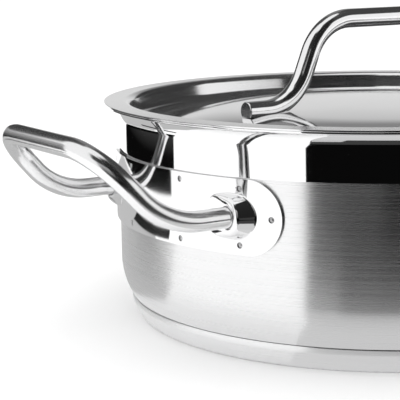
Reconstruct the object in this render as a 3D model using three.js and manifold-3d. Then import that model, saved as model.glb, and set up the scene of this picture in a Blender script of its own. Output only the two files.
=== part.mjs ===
// A low casserole pot with a recessed lid, in stainless steel. Millimetres, with +Z up.
// The origin is the middle of the base's underside, and the two side handles lie along X.

import * as THREE from "three";
import { mergeVertices } from "three/addons/utils/BufferGeometryUtils.js";
import Module from "manifold-3d";

const wasm = await Module();
wasm.setup();

// Fit between pieces that rest on, fill or pass through one another
const SEAT_GAP = 0.3;

// Pot body, one drawn sheet with a rounded corner and a flared pouring rim
const BODY_RADIUS = 140;
const BODY_SHEET = 1;
const POT_HEIGHT = 114.2;
const RIM_REACH = 6.4;
const FLARE_RISE = 7.4;
const FLARE_RUN = 4.2;
const CORNER_SET = 8.6;
const CORNER_HEIGHT = 12.8;
const CORNER_RADIUS = 38;
const KNUCKLE_RADIUS = 7;

// Sandwich base, an aluminium disc held in a stainless cap
const CORE_THICKNESS = 6.2;
const CORE_MARGIN = 2.7;
const CAP_SHEET = 0.8;
const CAP_RISE = 4.4;
const CAP_TAPER = 4.2;
const CAP_LIP = 3;
const CAP_EDGE = 3;

// Handle plates, stadium shapes bent round the wall with two pressed bosses each
const HANDLE_HEIGHT = 72.2;
const PLATE_SHEET = 1.5;
const PLATE_LENGTH = 165.7;
const PLATE_HEIGHT = 35.8;
const BOSS_STAND = 4.5;
const BOSS_HEIGHT = 20.6;
const BOSS_TAIL = 14;
const BOSS_ROUND = 3;

// Side handle tubes, which leave the bosses level and then rise to the grip
const TUBE_DIAMETER = 10;
const TUBE_WALL = 1.5;
const TUBE_END_GAP = 0.6;
const LEG_SPACING = 112.8;
const LEG_REACH = 26.6;
const LEG_BEND = 40.5;
const GRIP_SPACING = 101.4;
const GRIP_REACH = 59.1;
const GRIP_RISE = 35.1;
const GRIP_BEND = 26.1;

// Spot welds through each plate, and the bead behind each boss that holds the tube's end
const SPOT_DIAMETER = 2.6;
const SPOT_RECESS = 0.25;
const MIDDLE_SPOT_PLACE = 24;
const MIDDLE_SPOT_EDGE = 3.4;
const OUTER_SPOT_SET = 21.9;
const OUTER_SPOT_EDGE = 4.6;
const END_SPOT_SET = 5.3;
const BEAD_SIZE = 1.4;

// Lid, one sheet with a flange on the rim, a sunk wall, a sloping trough and a crowned middle
const LID_SHEET = 0.9;
const LID_CLEARANCE = 3.8;
const LID_OVERHANG = 1.1;
const FLANGE_RISE = 1.5;
const FLANGE_BEND = 2.2;
const LID_WALL_RUN = 3.5;
const LID_WALL_DEPTH = 9.15;
const TROUGH_BEND = 4.5;
const TROUGH_WIDTH = 13.3;
const TROUGH_FALL = 2.8;
const CROWN_RISE = 9.8;
const CROWN_RADIUS = 1680;
const CROWN_SHOULDER = 47.5;

// Lid handle, one bent bar whose feet are ground to lie on the crown
const BAR_DIAMETER = 10;
const BAR_SPAN = 171.4;
const BAR_RISE = 44.5;
const FOOT_LENGTH = 29.2;
const FOOT_BEND = 26.8;
const FOOT_GROUND = 2.1;
const RISER_LEAN = 17.9;
const TOP_BEND = 26;
const FOOT_WELD_DIAMETER = 5;
const FOOT_WELD_SET = 10;
const FOOT_WELD_HEIGHT = 1.8;

// Fineness of the facets
const TURN_STEPS = 40;
const PLATE_STEPS = 72;
const BEND_STEPS = 3;
const CROWN_STEPS = 3;
const SHOULDER_STEPS = 4;
const SWEEP_STEPS = 32;
const TUBE_SIDES = 12;
const BORE_SIDES = 8;
const SPOT_SIDES = 8;
const BEAD_STEPS = 10;
const ARC_POINTS = 4;
const POINT_SPACING = 0.003;

// Finishes
const BRUSHED = { color: 0xb7b9bb, roughness: 0.38, metalness: 1 };
const POLISHED = { color: 0xd8d9da, roughness: 0.07, metalness: 1 };
const WELDED = { color: 0x9fa1a3, roughness: 0.45, metalness: 1 };
const ALUMINIUM = { color: 0xc4c6c8, roughness: 0.5, metalness: 1 };

// Levels and radii that several pieces share
const coreBottom = CAP_SHEET + SEAT_GAP;
const floorZ = coreBottom + CORE_THICKNESS + SEAT_GAP;
const rimRadius = BODY_RADIUS + RIM_REACH;
const plateInner = BODY_RADIUS + SEAT_GAP;
const plateOuter = plateInner + PLATE_SHEET;
const tubeRadius = TUBE_DIAMETER / 2;
const barRadius = BAR_DIAMETER / 2;
const legSide = LEG_SPACING / 2;
const bossFace = Math.sqrt(plateOuter ** 2 - legSide ** 2) + BOSS_STAND;

// A round bend about a centre, between two arms of the same length
class Bend extends THREE.Curve {
  constructor(centre, start, end) {
    super();
    this.centre = centre;
    this.from = start.clone().sub(centre);
    this.to = end.clone().sub(centre);
    this.angle = this.from.angleTo(this.to);
  }

  getPoint(t, target = new THREE.Vector3()) {
    const near = Math.sin((1 - t) * this.angle) / Math.sin(this.angle);
    const far = Math.sin(t * this.angle) / Math.sin(this.angle);
    return target.copy(this.centre).addScaledVector(this.from, near).addScaledVector(this.to, far);
  }
}

// A path through corners, each rounded to its radius. A radius that its edges can't hold is reduced.
function roundedPath(corners, radii) {
  const directions = corners.slice(1).map((corner, i) => corner.clone().sub(corners[i]).normalize());
  const lengths = corners.slice(1).map((corner, i) => corner.distanceTo(corners[i]));
  const halfTurns = radii.map((_, i) => directions[i].angleTo(directions[i + 1]) / 2);
  const cuts = [0, ...radii.map((radius, i) => radius * Math.tan(halfTurns[i])), 0];
  const room = lengths.map((length, i) => Math.min(1, length / (cuts[i] + cuts[i + 1])));
  const path = new THREE.CurvePath();
  let last = corners[0];
  radii.forEach((radius, i) => {
    const corner = corners[i + 1];
    const scale = Math.min(room[i], room[i + 1]);
    const start = corner.clone().addScaledVector(directions[i], -cuts[i + 1] * scale);
    const end = corner.clone().addScaledVector(directions[i + 1], cuts[i + 1] * scale);
    const inward = directions[i + 1].clone().sub(directions[i]).normalize();
    const centre = corner.clone().addScaledVector(inward, (radius * scale) / Math.cos(halfTurns[i]));
    path.add(new THREE.LineCurve3(last, start));
    path.add(new Bend(centre, start, end));
    last = end;
  });
  path.add(new THREE.LineCurve3(last, corners.at(-1)));
  return path;
}

// A point of a turned outline, at a radius and a height
function at(radius, height) {
  return new THREE.Vector3(radius, 0, height);
}

// The outline of a turned piece along corners, as plane points with no two alike
function outline(corners, radii) {
  const points = roundedPath(corners, radii).getPoints(BEND_STEPS);
  const apart = points.filter((point, i) => i === 0 || point.distanceTo(points[i - 1]) > POINT_SPACING);
  return apart.map((point) => new THREE.Vector2(point.x, point.z));
}

// The same outline moved sideways, to the left of its direction where the distance is positive
function offset(points, distance) {
  const sides = points.slice(1).map((point, i) => {
    const along = point.clone().sub(points[i]).normalize();
    return new THREE.Vector2(-along.y, along.x);
  });
  return points.map((point, i) => {
    const before = sides[Math.max(i - 1, 0)];
    const after = sides[Math.min(i, sides.length - 1)];
    const mean = before.clone().add(after);
    const shift = mean.multiplyScalar((2 * distance) / mean.lengthSq());
    return point.clone().add(shift);
  });
}

// The radius at which a rising outline passes a height, and the height at which it passes a radius
function radiusAt(points, height) {
  const next = points.findIndex((point) => point.y > height);
  const low = points[next - 1];
  const high = points[next];
  return THREE.MathUtils.mapLinear(height, low.y, high.y, low.x, high.x);
}

function heightAt(points, radius) {
  const next = points.findIndex((point) => point.x > radius);
  const low = points[next - 1];
  const high = points[next];
  return THREE.MathUtils.mapLinear(radius, low.x, high.x, low.y, high.y);
}

// A solid turned about Z from an outline that runs outwards below and back inwards above
function turned(points, steps = TURN_STEPS) {
  return new THREE.LatheGeometry(points, steps).rotateX(Math.PI / 2);
}

// A round section of a tube or bar
function circle(radius, sides) {
  const angles = Array.from({ length: sides }, (_, i) => (2 * Math.PI * i) / sides);
  return angles.map((angle) => new THREE.Vector2(Math.cos(angle), Math.sin(angle)).multiplyScalar(radius));
}

// A section drawn along a path
function swept(section, path) {
  return new THREE.ExtrudeGeometry(section, { steps: SWEEP_STEPS, extrudePath: path });
}

// A round pin along X between two distances from the origin
function pin(diameter, start, end, sides) {
  const radius = diameter / 2;
  const geometry = new THREE.CylinderGeometry(radius, radius, end - start, sides);
  return geometry.rotateZ(-Math.PI / 2).translate((start + end) / 2, 0, 0);
}

// A closed geometry as a solid that can be joined and cut
function solid(geometry) {
  const bare = geometry.clone();
  bare.deleteAttribute("normal");
  bare.deleteAttribute("uv");
  const merged = mergeVertices(bare);
  const corners = Array.from(merged.index.array);
  const triVerts = [];
  for (let i = 0; i < corners.length; i += 3) {
    const [a, b, c] = corners.slice(i, i + 3);
    if (a !== b && b !== c && c !== a) triVerts.push(a, b, c);
  }
  return new wasm.Manifold(new wasm.Mesh({
    numProp: 3,
    vertProperties: merged.attributes.position.array,
    triVerts: Uint32Array.from(triVerts),
  }));
}

// A joined or cut solid as a geometry again
function geometryOf(shape) {
  const mesh = shape.getMesh();
  const geometry = new THREE.BufferGeometry();
  geometry.setAttribute("position", new THREE.BufferAttribute(mesh.vertProperties, 3));
  geometry.setIndex(new THREE.BufferAttribute(mesh.triVerts, 1));
  geometry.computeVertexNormals();
  return geometry;
}

function named(name, geometry, finish) {
  const mesh = new THREE.Mesh(geometry, new THREE.MeshStandardMaterial(finish));
  mesh.name = name;
  return mesh;
}

// The body's outer face, from the middle of the floor to the edge of the rim. The flare under the rim is a
// quarter of an ellipse, so that it leaves the wall gently and turns level at the top.
function bodyOutline() {
  const wallFoot = floorZ + CORNER_HEIGHT;
  const rimUnderside = POT_HEIGHT - BODY_SHEET;
  const flareFoot = rimUnderside - FLARE_RISE;
  const wall = outline(
    [
      at(0, floorZ),
      at(BODY_RADIUS - CORNER_SET, floorZ),
      at(BODY_RADIUS, wallFoot),
      at(BODY_RADIUS, flareFoot),
    ],
    [KNUCKLE_RADIUS, CORNER_RADIUS],
  );
  const flareEnd = BODY_RADIUS + FLARE_RUN;
  const flare = new THREE.EllipseCurve(
    flareEnd, flareFoot, FLARE_RUN, FLARE_RISE, Math.PI, Math.PI / 2, true,
  );
  return [...wall, ...flare.getPoints(ARC_POINTS).slice(1), new THREE.Vector2(rimRadius, rimUnderside)];
}

function potBody() {
  const outer = bodyOutline();
  const inner = offset(outer, BODY_SHEET);
  return named("pot_body", turned([...outer, ...inner.reverse()]), BRUSHED);
}

// The cap's lip ends where it meets the body's rounded corner
const bodyClearance = offset(bodyOutline(), -SEAT_GAP);
const capHeight = floorZ + CAP_RISE;
const capRim = radiusAt(bodyClearance, capHeight);
const capFoot = capRim - CAP_TAPER;

function baseCap() {
  const outer = outline(
    [at(0, 0), at(capFoot, 0), at(capRim, capHeight - CAP_LIP), at(capRim, capHeight)],
    [CAP_EDGE, CAP_EDGE],
  );
  const inner = offset(outer, CAP_SHEET);
  const lip = inner.at(-1);
  lip.y = heightAt(bodyClearance, lip.x);
  return named("base_cap", turned([...outer, ...inner.reverse()]), BRUSHED);
}

function baseCore() {
  const radius = capFoot - CAP_SHEET - CORE_MARGIN;
  const core = new THREE.CylinderGeometry(radius, radius, CORE_THICKNESS, TURN_STEPS);
  core.rotateX(Math.PI / 2).translate(0, 0, coreBottom + CORE_THICKNESS / 2);
  return named("base_core", core, ALUMINIUM);
}

// Turns a shape drawn across and upwards, and extruded, to face outwards along X
function facingX(geometry) {
  const across = new THREE.Vector3(0, 1, 0);
  const upwards = new THREE.Vector3(0, 0, 1);
  const outwards = new THREE.Vector3(1, 0, 0);
  return geometry.applyMatrix4(new THREE.Matrix4().makeBasis(across, upwards, outwards));
}

// A flat shape with round ends, from one end to the other
function stadium(left, right, height) {
  const radius = height / 2;
  const shape = new THREE.Shape();
  shape.absarc(right - radius, 0, radius, -Math.PI / 2, Math.PI / 2);
  shape.absarc(left + radius, 0, radius, Math.PI / 2, (3 * Math.PI) / 2);
  return shape;
}

// The plate's outline is a stadium on the bent sheet, seen here from the front
function plateFront() {
  const flat = stadium(-PLATE_LENGTH / 2, PLATE_LENGTH / 2, PLATE_HEIGHT);
  const bent = flat.getPoints(ARC_POINTS).map((point) => {
    return new THREE.Vector2(plateOuter * Math.sin(point.x / plateOuter), point.y);
  });
  return new THREE.Shape(bent);
}

// The boss faces along X, so it stands out more at the plate's end than towards its middle
function bossBlock(side, inset) {
  const left = side > 0 ? legSide - BOSS_TAIL : -legSide - BOSS_HEIGHT / 2;
  const right = side > 0 ? legSide + BOSS_HEIGHT / 2 : -legSide + BOSS_TAIL;
  const shrink = inset + BOSS_ROUND;
  const front = stadium(left + shrink, right - shrink, BOSS_HEIGHT - 2 * shrink);
  const block = new THREE.ExtrudeGeometry(front, {
    depth: bossFace - inset - BOSS_ROUND,
    bevelThickness: BOSS_ROUND,
    bevelSize: BOSS_ROUND,
    bevelSegments: BEND_STEPS,
    curveSegments: ARC_POINTS,
  });
  return solid(facingX(block).translate(0, 0, HANDLE_HEIGHT));
}

// Where a plate's spot welds lie, along the bent sheet and above or below its middle
function spotPlaces() {
  const half = PLATE_LENGTH / 2;
  const rows = [
    [MIDDLE_SPOT_PLACE, PLATE_HEIGHT / 2 - MIDDLE_SPOT_EDGE],
    [half - OUTER_SPOT_SET, PLATE_HEIGHT / 2 - OUTER_SPOT_EDGE],
  ];
  const sides = rows.flatMap(([along, up]) => [[-along, up], [along, up], [along, -up], [-along, -up]]);
  const end = half - END_SPOT_SET;
  return [...sides, [-end, 0], [end, 0]].map(([along, up]) => {
    return { angle: along / plateOuter, height: HANDLE_HEIGHT + up };
  });
}

function handlePlate(name) {
  const reach = 2 * BODY_RADIUS;
  const low = HANDLE_HEIGHT - PLATE_HEIGHT;
  const high = HANDLE_HEIGHT + PLATE_HEIGHT;
  const wall = [
    new THREE.Vector2(plateInner, low),
    new THREE.Vector2(plateOuter, low),
    new THREE.Vector2(plateOuter, high),
    new THREE.Vector2(plateInner, high),
    new THREE.Vector2(plateInner, low),
  ];
  const front = new THREE.ExtrudeGeometry(plateFront(), { depth: reach, bevelEnabled: false });
  const sheet = solid(turned(wall, PLATE_STEPS));
  let plate = sheet.intersect(solid(facingX(front).translate(0, 0, HANDLE_HEIGHT)));
  const inside = new THREE.CylinderGeometry(plateInner, plateInner, 2 * high, PLATE_STEPS);
  const potSide = solid(inside.rotateX(Math.PI / 2));
  for (const side of [-1, 1]) {
    plate = plate.add(bossBlock(side, 0).subtract(potSide));
  }
  for (const side of [-1, 1]) {
    const bore = pin(TUBE_DIAMETER + 2 * SEAT_GAP, 0, reach, TUBE_SIDES);
    plate = plate.subtract(bossBlock(side, PLATE_SHEET));
    plate = plate.subtract(solid(bore.translate(0, side * legSide, HANDLE_HEIGHT)));
  }
  for (const { angle, height } of spotPlaces()) {
    const hole = pin(SPOT_DIAMETER + 2 * SEAT_GAP, BODY_RADIUS, reach, SPOT_SIDES);
    plate = plate.subtract(solid(hole.rotateZ(angle).translate(0, 0, height)));
  }
  return named(name, geometryOf(plate), POLISHED);
}

function handleTube(name) {
  const legEnd = Math.sqrt(BODY_RADIUS ** 2 - (legSide - tubeRadius) ** 2) + TUBE_END_GAP;
  const legCorner = BODY_RADIUS + LEG_REACH;
  const grip = BODY_RADIUS + GRIP_REACH;
  const gripHeight = HANDLE_HEIGHT + GRIP_RISE;
  const halfLoop = [
    new THREE.Vector3(legEnd, legSide, HANDLE_HEIGHT),
    new THREE.Vector3(legCorner, legSide, HANDLE_HEIGHT),
    new THREE.Vector3(grip, GRIP_SPACING / 2, gripHeight),
  ];
  const mirrored = halfLoop.map((corner) => new THREE.Vector3(corner.x, -corner.y, corner.z));
  const loop = roundedPath([...halfLoop, ...mirrored.reverse()], [LEG_BEND, GRIP_BEND, GRIP_BEND, LEG_BEND]);
  const section = new THREE.Shape(circle(tubeRadius, TUBE_SIDES));
  section.holes.push(new THREE.Path(circle(tubeRadius - TUBE_WALL, BORE_SIDES)));
  return named(name, swept(section, loop), POLISHED);
}

// The nugget that joins plate and wall, in its pressed mark
function spotWeld(name, place) {
  const nugget = pin(SPOT_DIAMETER, plateInner, plateOuter - SPOT_RECESS, SPOT_SIDES);
  const mesh = named(name, nugget, WELDED);
  mesh.rotation.z = place.angle;
  mesh.position.z = place.height;
  return mesh;
}

// The weld bead in the corner between a tube's end and the back of its boss
function tubeBead(name, side) {
  const back = bossFace - PLATE_SHEET - SEAT_GAP;
  const inner = tubeRadius + SEAT_GAP;
  const corner = [
    new THREE.Vector2(inner, back - BEAD_SIZE),
    new THREE.Vector2(inner + BEAD_SIZE, back),
    new THREE.Vector2(inner, back),
    new THREE.Vector2(inner, back - BEAD_SIZE),
  ];
  const mesh = named(name, turned(corner, BEAD_STEPS), WELDED);
  mesh.rotation.y = Math.PI / 2;
  mesh.position.set(0, side * legSide, HANDLE_HEIGHT);
  return mesh;
}

// One handle with its plate and welds, made for the +X side
function sideHandle(label) {
  const handle = new THREE.Group();
  handle.add(handlePlate(`${label}_handle_plate`));
  handle.add(handleTube(`${label}_handle_tube`));
  spotPlaces().forEach((place, i) => handle.add(spotWeld(`${label}_spot_weld_${i + 1}`, place)));
  handle.add(tubeBead(`${label}_tube_bead_1`, -1));
  handle.add(tubeBead(`${label}_tube_bead_2`, 1));
  return handle;
}

// The flange leans inwards and touches the rim where the rim's flare becomes level
const flangeRoot = BODY_RADIUS - BODY_SHEET - LID_CLEARANCE - LID_SHEET;
const flangeEdge = rimRadius + LID_OVERHANG;
const flangeSlope = FLANGE_RISE / (flangeEdge - flangeRoot);
const flangeSeat = POT_HEIGHT + SEAT_GAP + LID_SHEET * Math.hypot(1, flangeSlope);
const flangeLow = flangeSeat - flangeSlope * (BODY_RADIUS + FLARE_RUN - flangeRoot);
const troughTop = flangeLow - LID_WALL_DEPTH;
const troughZ = troughTop - TROUGH_FALL;
const troughOuter = flangeRoot - LID_WALL_RUN;
const crownEdge = troughOuter - TROUGH_WIDTH;
const crownFlat = crownEdge - CROWN_SHOULDER;
const crownTop = troughZ + CROWN_RISE;

// The top of the crown, nearly flat in the middle, with a shoulder that falls away to the trough
function crownHeight(radius) {
  if (radius <= crownFlat) return crownTop - radius ** 2 / (2 * CROWN_RADIUS);
  const start = crownTop - crownFlat ** 2 / (2 * CROWN_RADIUS);
  const slope = -crownFlat / CROWN_RADIUS;
  const run = radius - crownFlat;
  const drop = troughZ - start - slope * CROWN_SHOULDER;
  return start + slope * run + drop * (run / CROWN_SHOULDER) ** 2;
}

// Points of the crown's top from its middle to the trough
function crownOutline() {
  const middle = Array.from({ length: CROWN_STEPS }, (_, i) => (crownFlat * i) / CROWN_STEPS);
  const shoulder = Array.from({ length: SHOULDER_STEPS }, (_, i) => {
    return crownFlat + (CROWN_SHOULDER * i) / SHOULDER_STEPS;
  });
  return [...middle, ...shoulder].map((radius) => new THREE.Vector2(radius, crownHeight(radius)));
}

function lidShell() {
  const edge = outline(
    [
      at(crownEdge, troughZ),
      at(troughOuter, troughTop),
      at(flangeRoot, flangeLow),
      at(flangeEdge, flangeLow + FLANGE_RISE),
    ],
    [TROUGH_BEND, FLANGE_BEND],
  );
  const top = [...crownOutline(), ...edge];
  const underside = offset(top, -LID_SHEET);
  underside[0].x = 0;
  return named("lid_shell", turned([...underside, ...top.reverse()]), POLISHED);
}

// The bar's end and the height of its axis, from the crown that its feet lie on
const barEnd = BAR_SPAN / 2;
const footZ = crownHeight(barEnd) + SEAT_GAP + barRadius - FOOT_GROUND;
const weldPlace = barEnd - FOOT_WELD_SET;
const weldBottom = crownHeight(weldPlace - FOOT_WELD_DIAMETER / 2) + SEAT_GAP;

// A round peg upwards between two heights, at a place along X
function peg(diameter, place, bottom, top) {
  const geometry = pin(diameter, bottom, top, SPOT_SIDES);
  return geometry.rotateY(-Math.PI / 2).translate(place, 0, 0);
}

function lidHandle() {
  const bend = barEnd - FOOT_LENGTH;
  const topBend = bend - RISER_LEAN;
  const topZ = footZ + BAR_RISE;
  const halfBar = [at(barEnd, footZ), at(bend, footZ), at(topBend, topZ)];
  const mirrored = halfBar.map((corner) => at(-corner.x, corner.z));
  const path = roundedPath([...halfBar, ...mirrored.reverse()], [FOOT_BEND, TOP_BEND, TOP_BEND, FOOT_BEND]);
  const section = new THREE.Shape(circle(barRadius, TUBE_SIDES));
  let bar = solid(swept(section, path));
  const crown = crownOutline();
  const lidTop = [
    new THREE.Vector2(0, 0),
    new THREE.Vector2(crown.at(-1).x, 0),
    ...crown.reverse().map((point) => new THREE.Vector2(point.x, point.y + SEAT_GAP)),
  ];
  bar = bar.subtract(solid(turned(lidTop)));
  for (const place of [-weldPlace, weldPlace]) {
    const top = weldBottom + FOOT_WELD_HEIGHT + SEAT_GAP;
    bar = bar.subtract(solid(peg(FOOT_WELD_DIAMETER + 2 * SEAT_GAP, place, 0, top)));
  }
  return named("lid_handle", geometryOf(bar), POLISHED);
}

// The weld under each foot, in a pocket of the foot
function footWeld(name, place) {
  const nugget = peg(FOOT_WELD_DIAMETER, place, weldBottom, weldBottom + FOOT_WELD_HEIGHT);
  return named(name, nugget, WELDED);
}

const casserole = new THREE.Group();
casserole.add(potBody(), baseCore(), baseCap());
const rightHandle = sideHandle("right");
const leftHandle = sideHandle("left");
leftHandle.rotation.z = Math.PI;
casserole.add(rightHandle, leftHandle);
casserole.add(lidShell(), lidHandle());
casserole.add(footWeld("lid_foot_weld_1", -weldPlace), footWeld("lid_foot_weld_2", weldPlace));

export default casserole;
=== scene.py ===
"""A low stainless steel casserole pot with its recessed lid, dressed for a photograph on a white floor."""

from math import atan2, cos, pi, radians, sin, sqrt, tan

import bmesh
import bpy
from mathutils import Matrix, Vector


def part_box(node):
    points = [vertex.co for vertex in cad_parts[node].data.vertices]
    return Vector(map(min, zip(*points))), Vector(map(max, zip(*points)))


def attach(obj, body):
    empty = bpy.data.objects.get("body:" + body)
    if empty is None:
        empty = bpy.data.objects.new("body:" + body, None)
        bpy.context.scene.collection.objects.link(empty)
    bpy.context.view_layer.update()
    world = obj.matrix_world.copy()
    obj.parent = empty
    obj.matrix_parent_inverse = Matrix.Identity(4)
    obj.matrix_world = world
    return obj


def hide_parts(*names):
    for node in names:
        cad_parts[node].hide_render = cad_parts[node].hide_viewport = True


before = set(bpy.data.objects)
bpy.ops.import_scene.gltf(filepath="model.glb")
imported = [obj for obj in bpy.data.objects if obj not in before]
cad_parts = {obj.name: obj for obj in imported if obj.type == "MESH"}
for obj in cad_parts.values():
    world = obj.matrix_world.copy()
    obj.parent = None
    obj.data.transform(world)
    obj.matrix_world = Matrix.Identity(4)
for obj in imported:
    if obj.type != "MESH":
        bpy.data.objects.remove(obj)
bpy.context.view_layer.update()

# Camera
# A long lens stands a little above the rim and looks past the left handle. It is turned so that the
# pot's right half runs out of the frame.
CAMERA_PLACE = (-0.48248, -0.60009, 0.19729)
CAMERA_LENS = 128.31
CAMERA_HEADING = radians(-31.564)
CAMERA_TILT = radians(79.761)
CAMERA_ROLL = radians(-0.888)

camera_data = bpy.data.cameras.new("camera")
camera_data.sensor_width = 36
camera_data.lens = CAMERA_LENS
camera = bpy.data.objects.new("camera", camera_data)
bpy.context.scene.collection.objects.link(camera)
heading = Matrix.Rotation(CAMERA_HEADING, 4, "Z")
tilt = Matrix.Rotation(CAMERA_TILT, 4, "X")
roll = Matrix.Rotation(CAMERA_ROLL, 4, "Z")
camera.matrix_world = Matrix.Translation(CAMERA_PLACE) @ heading @ tilt @ roll
bpy.context.scene.camera = camera

# Pot body
# One stainless sheet is drawn to a flat floor, a round corner, a straight wall and a flared pouring rim.
# The wall is ground with fine lines that run round the pot, a band under the rim is polished, and the sheet
# is painted near black from its floor to just above the base cap's lip, so that a thin dark line shows at
# the seam.
BODY_RADIUS = 0.140
BODY_SHEET = 0.001
SHEET_EASE = 0.0002
FLOOR_HEIGHT = 0.0076
CORNER_RUN = 0.0086
CORNER_RISE = 0.0128
FLOOR_BEND = 0.007
WALL_BEND = 0.038
FLARE_RISE = 0.0074
FLARE_RUN = 0.0042
POLISHED_FROM = 0.0904
SEAM_TOP = 0.0123
TURN_STEPS = 144
BEND_STEPS = 10
FLARE_STEPS = 24
GRINDING_LINES = (9, 9, 2600)


def run_straight(bm, drawn, move):
    """Draws a wire's end, or a tube's end ring, straight on."""
    return bmesh.ops.spin(bm, geom=drawn, axis=(0, 0, 1), angle=0, dvec=move, steps=1)["geom_last"]


def draw_along(bm, drawn, corners, bends, steps):
    """Draws a wire's end, or a tube's end ring, from the first corner to the last, round a bend at each."""
    place = corners[0]
    for before, corner, after, bend in zip(corners, corners[1:], corners[2:], bends):
        ahead = (corner - before).normalized()
        onwards = (after - corner).normalized()
        angle = ahead.angle(onwards)
        cut = bend * tan(angle / 2)
        drawn = run_straight(bm, drawn, corner - ahead * cut - place)
        inwards = (onwards - ahead * cos(angle)).normalized()
        centre = corner - ahead * cut + inwards * bend
        turning = ahead.cross(onwards)
        bent = bmesh.ops.spin(bm, geom=drawn, cent=centre, axis=turning, angle=angle, steps=steps)
        drawn = bent["geom_last"]
        place = corner + onwards * cut
    return run_straight(bm, drawn, corners[-1] - place)


def turn_round(bm, facing):
    """Turns a wire about the pot's axis into a skin whose middle faces up, 1, or down, -1."""
    wire = bm.verts[:] + bm.edges[:]
    bmesh.ops.spin(bm, geom=wire, axis=(0, 0, 1), angle=2 * pi, steps=TURN_STEPS, use_merge=True)
    bmesh.ops.remove_doubles(bm, verts=bm.verts, dist=1e-6)
    bmesh.ops.recalc_face_normals(bm, faces=bm.faces)
    middle = min(bm.faces, key=lambda face: face.calc_center_median().xy.length)
    if middle.normal.z * facing < 0:
        bmesh.ops.reverse_faces(bm, faces=bm.faces)


def finish_piece(bm, name, body, slot, *nodes):
    """Makes a piece of the mesh. It rides on a body and stands for the body's solids of these names."""
    mesh = bpy.data.meshes.new(name)
    for face in bm.faces:
        face.smooth = True
    bm.to_mesh(mesh)
    bm.free()
    piece = bpy.data.objects.new(name, mesh)
    bpy.context.scene.collection.objects.link(piece)
    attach(piece, body)
    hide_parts(*nodes)
    return piece


def give_thickness(piece, thickness, edge):
    """Thickens a skin to the inside, as sheet with eased edges."""
    wall = piece.modifiers.new("sheet", "SOLIDIFY")
    wall.thickness = thickness
    wall.offset = -1
    wall.use_even_offset = True
    eased = piece.modifiers.new("eased edges", "BEVEL")
    eased.width = edge
    eased.segments = 3
    eased.limit_method = "ANGLE"
    eased.angle_limit = radians(40)
    weighted = piece.modifiers.new("even shading", "WEIGHTED_NORMAL")
    weighted.keep_sharp = True
    return wall


def steel(name, tint, roughness):
    """A bare steel finish with its shader, to which each finish adds its own marks."""
    material = bpy.data.materials.new(name)
    material.use_nodes = True
    shader = material.node_tree.nodes["Principled BSDF"]
    shader.inputs["Base Color"].default_value = (tint, tint, tint * 1.005, 1)
    shader.inputs["Metallic"].default_value = 1
    shader.inputs["Roughness"].default_value = roughness
    return material, material.node_tree.nodes, material.node_tree.links, shader


def add_marks(nodes, links, scale, stretch, detail):
    """Noise on the piece's own coordinates, stretched along the axes."""
    place = nodes.new("ShaderNodeTexCoord")
    mapping = nodes.new("ShaderNodeMapping")
    mapping.inputs["Scale"].default_value = stretch
    noise = nodes.new("ShaderNodeTexNoise")
    noise.inputs["Scale"].default_value = scale
    noise.inputs["Detail"].default_value = detail
    links.new(place.outputs["Object"], mapping.inputs["Vector"])
    links.new(mapping.outputs["Vector"], noise.inputs["Vector"])
    return noise


def spread_between(nodes, links, value, low, high):
    """Maps marks from 0.3 to 0.7 to a range."""
    spread = nodes.new("ShaderNodeMapRange")
    spread.inputs["From Min"].default_value = 0.3
    spread.inputs["From Max"].default_value = 0.7
    spread.inputs["To Min"].default_value = low
    spread.inputs["To Max"].default_value = high
    links.new(value, spread.inputs["Value"])
    return spread.outputs["Result"]


def satin_steel(name, tint, smooth, rough):
    """Steel ground round the pot: fine level lines in the gloss, with a slight relief."""
    material, nodes, links, shader = steel(name, tint, rough)
    lines = add_marks(nodes, links, 1, GRINDING_LINES, 2)
    links.new(spread_between(nodes, links, lines.outputs["Fac"], smooth, rough), shader.inputs["Roughness"])
    relief = nodes.new("ShaderNodeBump")
    relief.inputs["Strength"].default_value = 0.03
    relief.inputs["Distance"].default_value = 0.0002
    links.new(lines.outputs["Fac"], relief.inputs["Height"])
    links.new(relief.outputs["Normal"], shader.inputs["Normal"])
    turn = nodes.new("ShaderNodeTangent")
    turn.direction_type = "RADIAL"
    turn.axis = "Z"
    links.new(turn.outputs["Tangent"], shader.inputs["Tangent"])
    shader.inputs["Anisotropic"].default_value = 0.8
    shader.inputs["Anisotropic Rotation"].default_value = 0.25
    return material


def polished_steel(name, tint, smooth, rough):
    """Mirror-polished steel: cloudy wipe marks in the gloss."""
    material, nodes, links, shader = steel(name, tint, rough)
    wipes = add_marks(nodes, links, 26, (1, 1, 1), 4)
    links.new(spread_between(nodes, links, wipes.outputs["Fac"], smooth, rough), shader.inputs["Roughness"])
    return material


satin_wall = satin_steel("satin wall", tint=0.83, smooth=0.21, rough=0.29)
polished_band = polished_steel("polished band", tint=0.88, smooth=0.02, rough=0.05)
satin_inside = satin_steel("satin inside", tint=0.66, smooth=0.20, rough=0.32)
# Near black paint for the body below the seam. It shows as a thin dark line just above the cap's lip.
dark_seam, nodes, links, shader = steel("dark_seam", tint=0.10, roughness=0.5)
grit = add_marks(nodes, links, 700, (1, 1, 1), 3)
links.new(spread_between(nodes, links, grit.outputs["Fac"], 0.4, 0.6), shader.inputs["Roughness"])

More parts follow.
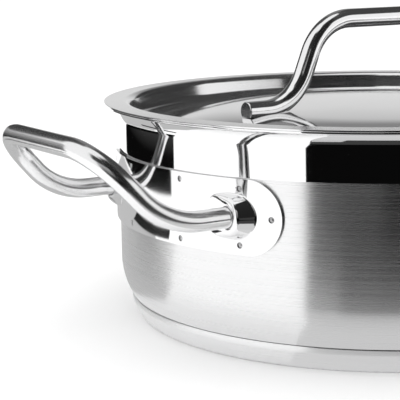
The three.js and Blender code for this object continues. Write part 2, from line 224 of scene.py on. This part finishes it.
rim_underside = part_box("pot_body")[1].z - BODY_SHEET
rim_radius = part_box("pot_body")[1].y
flare_centre = Vector((BODY_RADIUS + FLARE_RUN, 0, rim_underside - FLARE_RISE))
bm = bmesh.new()
corners = [
    Vector((0, 0, FLOOR_HEIGHT)),
    Vector((BODY_RADIUS - CORNER_RUN, 0, FLOOR_HEIGHT)),
    Vector((BODY_RADIUS, 0, FLOOR_HEIGHT + CORNER_RISE)),
    Vector((BODY_RADIUS, 0, flare_centre.z)),
]
wall_top = draw_along(bm, [bm.verts.new(corners[0])], corners, [FLOOR_BEND, WALL_BEND], BEND_STEPS)
wall_verts = set(bm.verts)
lip = bmesh.ops.spin(
    bm, geom=wall_top, cent=flare_centre, axis=(0, 1, 0), angle=pi / 2, steps=FLARE_STEPS
)["geom_last"]
flare = [vert for vert in bm.verts if vert not in wall_verts]
upwards = (1, 1, FLARE_RISE / FLARE_RUN)
bmesh.ops.scale(bm, vec=upwards, space=Matrix.Translation(-flare_centre), verts=flare)
run_straight(bm, lip, Vector((rim_radius - flare_centre.x, 0, 0)))
for height in (SEAM_TOP, POLISHED_FROM):
    wire = bm.verts[:] + bm.edges[:]
    bmesh.ops.bisect_plane(bm, geom=wire, dist=1e-6, plane_co=(0, 0, height), plane_no=(0, 0, 1))
turn_round(bm, -1)
for face in bm.faces:
    height = face.calc_center_median().z
    face.material_index = 2 if height < SEAM_TOP else 1 if height > POLISHED_FROM else 0
pot_body = finish_piece(bm, "pot_body_sheet", "pot", "brushed_steel", "pot_body")
for finish in (satin_wall, polished_band, dark_seam, satin_inside):
    pot_body.data.materials.append(finish)
give_thickness(pot_body, BODY_SHEET, SHEET_EASE).material_offset = 3

# Sandwich base
# An aluminium disc carries the heat under the floor. A thin steel cap is pressed over it, and its lip
# meets the body's round corner in a fine seam.
CAP_SHEET = 0.0008
CAP_TAPER = 0.0042
CAP_LIP = 0.003
CAP_EDGE = 0.003
CAP_EASE = 0.00038

satin_cap = satin_steel("satin cap", tint=0.90, smooth=0.26, rough=0.36)
cap_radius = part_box("base_cap")[1].x
cap_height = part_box("base_cap")[1].z
bm = bmesh.new()
corners = [
    Vector((0, 0, 0)),
    Vector((cap_radius - CAP_TAPER, 0, 0)),
    Vector((cap_radius, 0, cap_height - CAP_LIP)),
    Vector((cap_radius, 0, cap_height)),
]
draw_along(bm, [bm.verts.new(corners[0])], corners, [CAP_EDGE, CAP_EDGE], BEND_STEPS)
turn_round(bm, -1)
base_cap = finish_piece(bm, "base_cap_cup", "pot", "brushed_steel", "base_cap")
base_cap.data.materials.append(satin_cap)
give_thickness(base_cap, CAP_SHEET, CAP_EASE)

rolled_aluminium, nodes, links, shader = steel("rolled aluminium", tint=0.78, roughness=0.5)
rolling = add_marks(nodes, links, 1, (600, 12, 600), 3)
links.new(spread_between(nodes, links, rolling.outputs["Fac"], 0.42, 0.56), shader.inputs["Roughness"])
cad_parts["base_core"].data.materials.clear()
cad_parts["base_core"].data.materials.append(rolled_aluminium)

# Handle plates
# Each is a polished stadium of thicker sheet, bent round the wall. Two bosses are pressed out of it so
# that the handle's tube can leave them straight, and ten holes take the spot welds.
HANDLE_HEIGHT = 0.0722
PLATE_SHEET = 0.0015
PLATE_RADIUS = 0.1418
PLATE_LENGTH = 0.1657
PLATE_HEIGHT = 0.0358
PLATE_STRIPS = 68
PLATE_EASE = 0.00015
END_POINTS = 72
LEG_SIDE = 0.0564
TUBE_RADIUS = 0.005
BOSS_HEIGHT = 0.0206
BOSS_TAIL = 0.014
BOSS_STAND = 0.0045
BOSS_FACE = sqrt(PLATE_RADIUS**2 - LEG_SIDE**2) + BOSS_STAND
BOSS_FOOT = 0.0010
BOSS_ROUND = 0.0026
BOSS_DRAFT = radians(18)
BOSS_LEAN = 0.05
BOSS_POINTS = 48
MOUTH_GAP = 0.00015
MOUTH_RADIUS = TUBE_RADIUS + MOUTH_GAP
MOUTH_ROUND = 0.0005
MOUTH_DEPTH = 0.003
WELD_HOLE = 0.0015
WELD_POINTS = 16
INNER_WELD = (0.024, 0.0145)
OUTER_WELD = (PLATE_LENGTH / 2 - 0.0219, 0.0133)
END_WELD = PLATE_LENGTH / 2 - 0.0053
WELD_PLACES = [
    (along * side, up * level)
    for along, up in (INNER_WELD, OUTER_WELD)
    for side, level in ((-1, 1), (1, 1), (1, -1), (-1, -1))
]
WELD_PLACES += [(side * END_WELD, 0) for side in (-1, 1)]

polished_plate = polished_steel("polished plate", tint=0.90, smooth=0.03, rough=0.07)


def sheet_depth(across):
    """How far out along X the bent plate's face lies, at a distance across from the handle's middle."""
    return sqrt(PLATE_RADIUS**2 - across**2)


def boss_outline(side):
    """Points of a boss's outline from the front, with their outward directions. The tail is squarer."""
    radius = BOSS_HEIGHT / 2
    points = []
    for i in range(BOSS_POINTS):
        angle = 2 * pi * (i + 0.5) / BOSS_POINTS
        outwards = Vector((cos(angle), sin(angle), 0))
        point = outwards * radius
        if outwards.x * side < 0:
            point.x = -side * BOSS_TAIL * sqrt(abs(outwards.x))
            point.y = radius * sqrt(abs(outwards.y)) * (1 if outwards.y > 0 else -1)
        points.append((Vector((side * LEG_SIDE, 0, 0)) + point, outwards))
    return points


def face_depth(across):
    """How far out the boss's face lies. It leans a little towards the plate's end."""
    return BOSS_FACE + (LEG_SIDE - abs(across)) * BOSS_LEAN


def boss_ease(point):
    """The share of the boss's rounding that fits between the bent plate and the boss's face."""
    return min(1, max(0, face_depth(point.x) - sheet_depth(point.x)) / (BOSS_FOOT + BOSS_ROUND))


def press_bosses(bm, points, directions):
    """Draws each boss out of the plate from the edge of its opening: foot, flank, round edge and mouth."""
    rims = [edge for edge in bm.edges if edge.is_boundary]
    edges = [edge for edge in rims if all(vert[directions].length > 0.5 for vert in edge.verts)]
    loops = [("foot", angle) for angle in (24, 48, 72)]
    loops += [("round", angle) for angle in (18, 36, 54, 72, 90)]
    loops += [("mouth", angle) for angle in (0, 45, 90)]
    loops += [("depth", 0)]
    for part, angle in loops:
        turn = radians(angle)
        drawn = bmesh.ops.extrude_edge_only(bm, edges=edges)["geom"]
        verts = {item for item in drawn if isinstance(item, bmesh.types.BMVert)}
        lines = [item for item in drawn if isinstance(item, bmesh.types.BMEdge)]
        edges = [edge for edge in lines if verts.issuperset(edge.verts)]
        for vert in verts:
            point, outwards = vert[points], vert[directions].normalized()
            ease = boss_ease(point)
            leg = Vector((LEG_SIDE if point.x > 0 else -LEG_SIDE, 0, 0))
            rounding = (BOSS_FOOT + BOSS_ROUND) * (1 - sin(BOSS_DRAFT)) * ease
            flank = max(0, face_depth(point.x) - sheet_depth(point.x) - rounding) * tan(BOSS_DRAFT)
            if part == "foot":
                front = point + outwards * BOSS_FOOT * ease * (1 - sin(turn))
                depth = sheet_depth(front.x) + BOSS_FOOT * ease * (1 - cos(turn))
            elif part == "round":
                inset = flank + BOSS_ROUND * ease * (cos(BOSS_DRAFT) - cos(turn))
                front = point - outwards * inset
                depth = max(face_depth(front.x), sheet_depth(front.x)) - BOSS_ROUND * ease * (1 - sin(turn))
            elif part == "mouth":
                front = leg + outwards * (MOUTH_RADIUS + MOUTH_ROUND * (1 - sin(turn)))
                depth = face_depth(front.x) - MOUTH_ROUND * (1 - cos(turn))
            else:
                front = leg + outwards * MOUTH_RADIUS
                depth = BOSS_FACE - MOUTH_DEPTH
            vert.co = (depth, front.x, HANDLE_HEIGHT + front.y)


def handle_plate(label, turn):
    """Cuts the flat plate with its openings, bends it round the pot and presses its bosses."""
    bm = bmesh.new()
    points = bm.verts.layers.float_vector.new("boss outline")
    directions = bm.verts.layers.float_vector.new("boss direction")
    half_step = Matrix.Rotation(pi / END_POINTS, 4, "Z")
    ends = bmesh.ops.create_circle(bm, radius=PLATE_HEIGHT / 2, segments=END_POINTS, matrix=half_step)
    straight = (PLATE_LENGTH - PLATE_HEIGHT) / 2
    for vert in ends["verts"]:
        vert.co.x += straight if vert.co.x > 0 else -straight
    for along, up in WELD_PLACES:
        centre = Matrix.Translation((along, up, 0))
        bmesh.ops.create_circle(bm, radius=WELD_HOLE, segments=WELD_POINTS, matrix=centre)
    for side in (-1, 1):
        outline = boss_outline(side)
        opening = bmesh.ops.create_circle(bm, radius=BOSS_HEIGHT, segments=BOSS_POINTS, matrix=half_step)
        for vert, (point, outwards) in zip(opening["verts"], outline):
            front = point + outwards * BOSS_FOOT * boss_ease(point)
            vert.co = (PLATE_RADIUS * atan2(front.x, sheet_depth(front.x)), front.y, 0)
            vert[points] = point
            vert[directions] = outwards
    bmesh.ops.triangle_fill(bm, use_beauty=True, edges=bm.edges[:], normal=(0, 0, 1))
    for i in range(1, PLATE_STRIPS):
        place = (PLATE_LENGTH * (i / PLATE_STRIPS - 0.5), 0, 0)
        everything = bm.verts[:] + bm.edges[:] + bm.faces[:]
        bmesh.ops.bisect_plane(bm, geom=everything, dist=1e-7, plane_co=place, plane_no=(1, 0, 0))
    for vert in bm.verts:
        angle = vert.co.x / PLATE_RADIUS
        vert.co = (PLATE_RADIUS * cos(angle), PLATE_RADIUS * sin(angle), HANDLE_HEIGHT + vert.co.y)
    press_bosses(bm, points, directions)
    bmesh.ops.remove_doubles(bm, verts=bm.verts, dist=2e-5)
    bmesh.ops.dissolve_degenerate(bm, edges=bm.edges, dist=1e-6)
    bmesh.ops.recalc_face_normals(bm, faces=bm.faces)
    front = max(bm.faces, key=lambda face: face.calc_center_median().x)
    if front.normal.x < 0:
        bmesh.ops.reverse_faces(bm, faces=bm.faces)
    bmesh.ops.rotate(bm, matrix=Matrix.Rotation(turn, 3, "Z"), verts=bm.verts)
    piece = finish_piece(bm, f"{label}_plate_sheet", "pot", "polished_steel", f"{label}_handle_plate")
    piece.data.materials.append(polished_plate)
    give_thickness(piece, PLATE_SHEET, PLATE_EASE)


handle_plate("right", 0)
handle_plate("left", pi)

# Spot welds
# The plate is spot welded to the wall through its ten holes. Each weld is a small nugget with a raised
# middle and a dark ring round it. Beads behind the bosses hold the ends of the tube.
WELD_RADIUS = 0.0013
WELD_MIDDLE = -0.00010
WELD_DOME = Vector((0.0007, 0, -0.00014))
WELD_RING = Vector((0.0010, 0, -0.00045))
WELD_BRIM = -0.00035

weld_metal, nodes, links, shader = steel("weld metal", tint=0.55, roughness=0.4)
mottle = add_marks(nodes, links, 900, (1, 1, 1), 3)
links.new(spread_between(nodes, links, mottle.outputs["Fac"], 0.22, 0.5), shader.inputs["Roughness"])


def spot_weld(label, number, place, turn):
    """Turns a weld's nugget and sets it in its hole of the plate."""
    bm = bmesh.new()
    along, up = place
    corners = [
        Vector((0, 0, WELD_MIDDLE)),
        WELD_DOME,
        WELD_RING,
        Vector((WELD_RADIUS, 0, WELD_BRIM)),
        Vector((WELD_RADIUS, 0, -PLATE_SHEET)),
        Vector((0, 0, -PLATE_SHEET)),
    ]
    drawn = [bm.verts.new(corners[0])]
    for before, after in zip(corners, corners[1:]):
        drawn = run_straight(bm, drawn, after - before)
    wire = bm.verts[:] + bm.edges[:]
    bmesh.ops.spin(bm, geom=wire, axis=(0, 0, 1), angle=2 * pi, steps=WELD_POINTS, use_merge=True)
    bmesh.ops.remove_doubles(bm, verts=bm.verts, dist=1e-7)
    bmesh.ops.recalc_face_normals(bm, faces=bm.faces)
    outwards = Matrix.Rotation(turn + along / PLATE_RADIUS, 4, "Z") @ Matrix.Rotation(pi / 2, 4, "Y")
    level = Matrix.Translation((0, 0, HANDLE_HEIGHT + up))
    seat = level @ outwards @ Matrix.Translation((0, 0, PLATE_RADIUS))
    bmesh.ops.transform(bm, matrix=seat, verts=bm.verts)
    name = f"{label}_weld_mark_{number}"
    piece = finish_piece(bm, name, "pot", "weld_steel", f"{label}_spot_weld_{number}")
    piece.data.materials.append(weld_metal)


for label, turn in (("right", 0), ("left", pi)):
    for number, place in enumerate(WELD_PLACES, 1):
        spot_weld(label, number, place, turn)
    for number in (1, 2):
        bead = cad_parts[f"{label}_tube_bead_{number}"]
        bead.data.materials.clear()
        bead.data.materials.append(weld_metal)

# Side handles
# Each is one bent tube with a soft polish. Its level legs leave the bosses, sweep upwards and meet in a
# grip that is wide enough for four fingers.
LEG_END = 0.1305
LEG_REACH = 0.0266
LEG_CORNER = BODY_RADIUS + LEG_REACH
GRIP_SIDE = 0.0507
GRIP_RISE = 0.0351
GRIP = Vector((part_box("right_handle_tube")[1].x - TUBE_RADIUS, GRIP_SIDE, HANDLE_HEIGHT + GRIP_RISE))
LEG_BEND = 0.0405
GRIP_BEND = 0.0261
ROUND_POINTS = 40
ROUND_STEPS = 18

polished_tube = polished_steel("polished tube", tint=0.86, smooth=0.17, rough=0.23)


def close_ends(bm):
    """Closes open ends with flat faces that keep a crisp edge."""
    for end in bmesh.ops.holes_fill(bm, edges=bm.edges, sides=0)["faces"]:
        for edge in end.edges:
            edge.smooth = False


def handle_tube(label, turn):
    """Bends half the tube from its leg's end to the middle of the grip, and mirrors it."""
    bm = bmesh.new()
    corners = [
        Vector((LEG_END, LEG_SIDE, HANDLE_HEIGHT)),
        Vector((LEG_CORNER, LEG_SIDE, HANDLE_HEIGHT)),
        GRIP,
        Vector((GRIP.x, 0, GRIP.z)),
    ]
    facing = Matrix.Translation(corners[0]) @ Matrix.Rotation(pi / 2, 4, "Y")
    bmesh.ops.create_circle(bm, radius=TUBE_RADIUS, segments=ROUND_POINTS, matrix=facing)
    draw_along(bm, bm.verts[:] + bm.edges[:], corners, [LEG_BEND, GRIP_BEND], ROUND_STEPS)
    half = bm.verts[:] + bm.edges[:] + bm.faces[:]
    bmesh.ops.mirror(bm, geom=half, axis="Y", merge_dist=1e-5)
    close_ends(bm)
    bmesh.ops.recalc_face_normals(bm, faces=bm.faces)
    bmesh.ops.rotate(bm, matrix=Matrix.Rotation(turn, 3, "Z"), verts=bm.verts)
    piece = finish_piece(bm, f"{label}_tube_loop", "pot", "polished_steel", f"{label}_handle_tube")
    piece.data.materials.append(polished_tube)


handle_tube("right", 0)
handle_tube("left", pi)

# Lid
# One sheet lies on the rim with a flat flange and sinks behind it in a steep wall. A trough slopes in
# from the wall to the edge of a broad crown that is almost flat. The crown is polished, the rest satin.
LID_SHEET = 0.0009
CROWN_TOP = 0.11213
CROWN_RADIUS = 1.68
CROWN_FLAT = 0.0700
SHOULDER_RADIUS = 0.1832
SHOULDER_TURN = radians(14.5)
CROWN_EDGE = Vector((0.1175, 0, 0.10233))
TROUGH_OUTER = Vector((0.1308, 0, 0.10513))
FLANGE_ROOT = Vector((0.1343, 0, 0.11538))
FLANGE_EDGE = 0.1475
FLANGE_EASE = 0.0005
CROWN_STEPS = 12
CROWN_BEND = 0.004
TROUGH_BEND = 0.0045
FLANGE_BEND = 0.004

polished_lid = polished_steel("polished lid", tint=0.86, smooth=0.05, rough=0.10)
satin_ring = satin_steel("satin ring", tint=0.86, smooth=0.12, rough=0.20)

flange_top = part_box("lid_shell")[1].z - FLANGE_EASE
bm = bmesh.new()
crown_turn = atan2(CROWN_FLAT, sqrt(CROWN_RADIUS**2 - CROWN_FLAT**2))
crown_centre = Vector((0, 0, CROWN_TOP - CROWN_RADIUS))
middle = [bm.verts.new((0, 0, CROWN_TOP))]
crown = bmesh.ops.spin(
    bm, geom=middle, cent=crown_centre, axis=(0, 1, 0), angle=crown_turn, steps=CROWN_STEPS
)["geom_last"]
tilted = Vector((sin(crown_turn), 0, cos(crown_turn)))
shoulder_centre = crown[0].co - tilted * SHOULDER_RADIUS
shoulder = bmesh.ops.spin(
    bm, geom=crown, cent=shoulder_centre, axis=(0, 1, 0), angle=SHOULDER_TURN, steps=CROWN_STEPS
)["geom_last"]
corners = [
    shoulder[0].co.copy(),
    CROWN_EDGE,
    TROUGH_OUTER,
    FLANGE_ROOT,
    Vector((FLANGE_EDGE, 0, flange_top)),
]
draw_along(bm, shoulder, corners, [CROWN_BEND, TROUGH_BEND, FLANGE_BEND], BEND_STEPS)
turn_round(bm, 1)
for face in bm.faces:
    if face.calc_center_median().xy.length > CROWN_EDGE.x:
        face.material_index = 1
lid = finish_piece(bm, "lid_sheet", "lid", "polished_steel", "lid_shell")
lid.data.materials.append(polished_lid)
lid.data.materials.append(satin_ring)
give_thickness(lid, LID_SHEET, SHEET_EASE).material_offset_rim = -1

# Lid handle
# One solid bar, bent and polished. Its two feet lie on the crown, ground flat underneath and welded
# there, and their ends are cut square with an eased edge.
BAR_RADIUS = 0.005
BAR_END = 0.0857
END_EASE = 0.0005
FOOT_HEIGHT = 0.11252
FOOT_GROUND = 0.0022
FOOT_LENGTH = 0.0292
FOOT_CORNER = BAR_END - FOOT_LENGTH
RISE_RUN = 0.0179
TOP_CORNER = FOOT_CORNER - RISE_RUN
TOP_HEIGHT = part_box("lid_handle")[1].z - BAR_RADIUS
FOOT_BEND = 0.0268
TOP_BEND = 0.026
FOOT_SLOPE = 0.068

polished_bar = polished_steel("polished bar", tint=0.86, smooth=0.09, rough=0.15)

bm = bmesh.new()
corners = [
    Vector((BAR_END, 0, FOOT_HEIGHT)),
    Vector((FOOT_CORNER, 0, FOOT_HEIGHT)),
    Vector((TOP_CORNER, 0, TOP_HEIGHT)),
    Vector((0, 0, TOP_HEIGHT)),
]
facing = Matrix.Translation(corners[0]) @ Matrix.Rotation(pi / 2, 4, "Y")
bmesh.ops.create_circle(bm, radius=BAR_RADIUS, segments=ROUND_POINTS, matrix=facing)
end_edges = bm.edges[:]
draw_along(bm, bm.verts[:] + end_edges, corners, [FOOT_BEND, TOP_BEND], ROUND_STEPS)
bmesh.ops.contextual_create(bm, geom=end_edges)
bmesh.ops.bevel(
    bm, geom=end_edges, offset=END_EASE, segments=3, profile=0.5, affect="EDGES", material=-1
)
ground = Vector((FOOT_SLOPE, 0, 1)).normalized()
seat = Vector((BAR_END, 0, FOOT_HEIGHT - BAR_RADIUS + FOOT_GROUND))
everything = bm.verts[:] + bm.edges[:] + bm.faces[:]
bmesh.ops.bisect_plane(bm, geom=everything, dist=1e-6, plane_co=seat, plane_no=ground, clear_inner=True)
half = bm.verts[:] + bm.edges[:] + bm.faces[:]
bmesh.ops.mirror(bm, geom=half, axis="X", merge_dist=1e-5)
close_ends(bm)
bmesh.ops.recalc_face_normals(bm, faces=bm.faces)
lid_handle = finish_piece(bm, "lid_handle_bar", "lid", "polished_steel", "lid_handle")
lid_handle.data.materials.append(polished_bar)
lid_handle.modifiers.new("even shading", "WEIGHTED_NORMAL").keep_sharp = True
for number in (1, 2):
    foot_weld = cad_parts[f"lid_foot_weld_{number}"]
    foot_weld.data.materials.clear()
    foot_weld.data.materials.append(weld_metal)

# Studio
# A white floor lies in a white surround. Flags, most of them dark, stand round the pot and lie before it.
# Only the metal sees them, and they put the shapes of a photographer's room into the polish; one grey flag
# by the foot is painted shadow.
FLOOR_REACH = 6
FLOOR_GLOW = 0.10
ROOM_RADIUS = 1.3
ROOM_HEIGHT = 4.2
FLAG_STEPS = 24
SURROUND_LIGHT = 1.1
LAMP_PLACE = (-0.3, -0.2, 1.6)
LAMP_POWER = 5

towards_camera = Vector((camera.location.x, camera.location.y, 0)).normalized()
rightwards = Vector((-towards_camera.y, towards_camera.x, 0))


def seen_directly(nodes, links, strength):
    """A strength for what the camera, the metal or glass sees, and none for the light on the pot."""
    path = nodes.new("ShaderNodeLightPath")
    value = path.outputs["Is Camera Ray"]
    for ray in ("Is Glossy Ray", "Is Transmission Ray"):
        either = nodes.new("ShaderNodeMath")
        either.operation = "MAXIMUM"
        links.new(value, either.inputs[0])
        links.new(path.outputs[ray], either.inputs[1])
        value = either.outputs["Value"]
    scaled = nodes.new("ShaderNodeMath")
    scaled.operation = "MULTIPLY"
    scaled.inputs[1].default_value = strength
    links.new(value, scaled.inputs[0])
    return scaled.outputs["Value"]


floor_paint = bpy.data.materials.new("floor paint")
floor_paint.use_nodes = True
nodes, links = floor_paint.node_tree.nodes, floor_paint.node_tree.links
matt = nodes["Principled BSDF"]
matt.inputs["Base Color"].default_value = (0.90, 0.90, 0.90, 1)
matt.inputs["Roughness"].default_value = 0.9
matt.inputs["Specular IOR Level"].default_value = 0
matt.inputs["Emission Color"].default_value = (1, 1, 1, 1)
links.new(seen_directly(nodes, links, FLOOR_GLOW), matt.inputs["Emission Strength"])
bm = bmesh.new()
bmesh.ops.create_grid(bm, x_segments=8, y_segments=8, size=FLOOR_REACH)
floor_mesh = bpy.data.meshes.new("floor")
bm.to_mesh(floor_mesh)
bm.free()
floor_mesh.materials.append(floor_paint)
floor = bpy.data.objects.new("floor", floor_mesh)
bpy.context.scene.collection.objects.link(floor)


def hang_flag(bm, name, low_shade, high_shade, low, high):
    """Makes a flag of the mesh, shaded from one height to another, that shows in reflections only."""
    cloth = bpy.data.materials.new(name)
    cloth.use_nodes = True
    nodes, links = cloth.node_tree.nodes, cloth.node_tree.links
    nodes.remove(nodes["Principled BSDF"])
    glow = nodes.new("ShaderNodeEmission")
    place = nodes.new("ShaderNodeTexCoord")
    height = nodes.new("ShaderNodeSeparateXYZ")
    shade = nodes.new("ShaderNodeMapRange")
    shade.inputs["From Min"].default_value = low
    shade.inputs["From Max"].default_value = high
    shade.inputs["To Min"].default_value = low_shade
    shade.inputs["To Max"].default_value = high_shade
    links.new(place.outputs["Object"], height.inputs["Vector"])
    links.new(height.outputs["Z"], shade.inputs["Value"])
    links.new(shade.outputs["Result"], glow.inputs["Strength"])
    links.new(glow.outputs["Emission"], nodes["Material Output"].inputs["Surface"])
    mesh = bpy.data.meshes.new(name)
    bm.to_mesh(mesh)
    bm.free()
    mesh.materials.append(cloth)
    flag = bpy.data.objects.new(name, mesh)
    bpy.context.scene.collection.objects.link(flag)
    flag.visible_camera = False
    flag.visible_diffuse = False
    flag.visible_transmission = False
    flag.visible_shadow = False


def wall_flag(name, start, end, low, high, low_shade, high_shade):
    """A flag bent round the pot between two bearings, counted to the right from the camera's."""
    bm = bmesh.new()
    foot = Matrix.Rotation(radians(start), 3, "Z") @ towards_camera * ROOM_RADIUS
    hem = bm.verts.new(foot + Vector((0, 0, low)))
    run_straight(bm, [hem], Vector((0, 0, high - low)))
    edge = bm.verts[:] + bm.edges[:]
    bmesh.ops.spin(bm, geom=edge, axis=(0, 0, 1), angle=radians(end - start), steps=FLAG_STEPS)
    hang_flag(bm, name, low_shade, high_shade, low, high)


def on_table(right, near, height):
    """A place by its distance to the right of the pot, towards the camera and above the floor."""
    return rightwards * right + towards_camera * near + Vector((0, 0, height))


def table_flag(name, corners, shade, height=0.001):
    """A flag that lies on the floor, or a little higher on another flag."""
    bm = bmesh.new()
    bm.faces.new([bm.verts.new(on_table(right, near, height)) for right, near in corners])
    hang_flag(bm, name, shade, shade, 0, 1)


def standing_flag(name, start, end, height, low_shade, high_shade):
    """A flat flag that stands on the floor between two places, darkest at its foot."""
    bm = bmesh.new()
    low = [on_table(*start, 0), on_table(*end, 0)]
    high = [on_table(*end, height), on_table(*start, height)]
    bm.faces.new([bm.verts.new(corner) for corner in low + high])
    hang_flag(bm, name, low_shade, high_shade, height / 8, height)


wall_flag("front_edge_flag", -28, 2, 0, 0.70, 0.08, 0.50)
wall_flag("front_upper_flag", -36, 2, 0.70, 2.2, 0.020, 0.050)
wall_flag("front_flag", 2, 56, 0, ROOM_HEIGHT, 0.015, 0.030)
wall_flag("right_upper_flag", 56, 110, 0.95, ROOM_HEIGHT, 0.055, 0.080)
wall_flag("right_back_flag", 110, 150, 0, ROOM_HEIGHT, 0.040, 0.090)
wall_flag("back_right_flag", 150, 173, 0.20, ROOM_HEIGHT, 0.040, 0.090)
wall_flag("back_low_flag", 173, 203, 0.02, 0.31, 0.80, 0.70)
wall_flag("back_upper_flag", 173, 203, 0.31, 0.60, 0.70, 0.25)
wall_flag("back_top_flag", 173, 203, 0.60, ROOM_HEIGHT, 0.25, 0.10)
wall_flag("left_back_flag", 203, 246, 0.20, ROOM_HEIGHT, 0.050, 0.11)
table_flag("front_table_flag", [(-0.145, 0.34), (0.11, 0.34), (0.50, 2.0), (-0.835, 1.53)], 0.003)
table_flag("near_table_flag", [(-0.09, 0.23), (0.075, 0.23), (0.11, 0.34), (-0.145, 0.34)], 0.05)
edge_corners = [(-0.09, 0.23), (-0.04, 0.23), (-0.055, 0.265), (-0.105, 0.265)]
table_flag("near_edge_flag", edge_corners, 0.60, 0.002)
table_flag("foot_table_flag", [(-0.05, 0.165), (0.06, 0.165), (0.075, 0.23), (-0.09, 0.23)], 0.66)
# Painted shadow: a grey sheet on the floor at the right front of the foot, seen only in reflections,
# darkens the floor that the lower wall and the cap mirror.
foot_shadow_corners = [(-0.035, 0.10), (0.16, 0.05), (0.22, 0.13), (0.06, 0.165), (-0.05, 0.165)]
table_flag("foot_shadow_flag", foot_shadow_corners, 0.70)
right_corners = [(0.075, 0.23), (0.30, 0.16), (1.2, 0.5), (0.62, 2.0), (0.50, 2.0), (0.11, 0.34)]
table_flag("right_table_flag", right_corners, 0.045)
left_corners = [(-0.50, -0.08), (-0.50, -0.45), (-0.145, -0.45), (-0.145, 0.075), (-0.24, 0.075)]
table_flag("left_table_flag", left_corners, 0.55)
table_flag("near_strip_flag", [(-0.39, 0.06), (-0.39, -0.12), (-0.355, -0.12), (-0.355, 0.06)], 0.02, 0.002)
table_flag("back_table_flag", [(0.08, -0.27), (0.33, -0.17), (0.95, -0.75), (0.15, -1.3)], 0.22)
standing_flag("left_board_flag", (-0.535, 0.052), (-0.515, -0.45), 0.24, 0.003, 0.45)

world = bpy.data.worlds.new("surround")
bpy.context.scene.world = world
world.use_nodes = True
nodes, links = world.node_tree.nodes, world.node_tree.links
seen = nodes["Background"]
seen.inputs["Color"].default_value = (1, 1, 1, 1)
seen.inputs["Strength"].default_value = 1
light = nodes.new("ShaderNodeBackground")
light.inputs["Color"].default_value = (1, 1, 1, 1)
light.inputs["Strength"].default_value = SURROUND_LIGHT
mix = nodes.new("ShaderNodeMixShader")
links.new(seen_directly(nodes, links, 1), mix.inputs["Fac"])
links.new(light.outputs["Background"], mix.inputs[1])
links.new(seen.outputs["Background"], mix.inputs[2])
links.new(mix.outputs["Shader"], nodes["World Output"].inputs["Surface"])

lamp_data = bpy.data.lights.new("overhead lamp", "AREA")
lamp_data.shape = "RECTANGLE"
lamp_data.size = 1.6
lamp_data.size_y = 1.2
lamp_data.energy = LAMP_POWER
lamp = bpy.data.objects.new("overhead lamp", lamp_data)
lamp.location = LAMP_PLACE
lamp.visible_glossy = False
bpy.context.scene.collection.objects.link(lamp)

bpy.context.scene.view_settings.view_transform = "Standard"
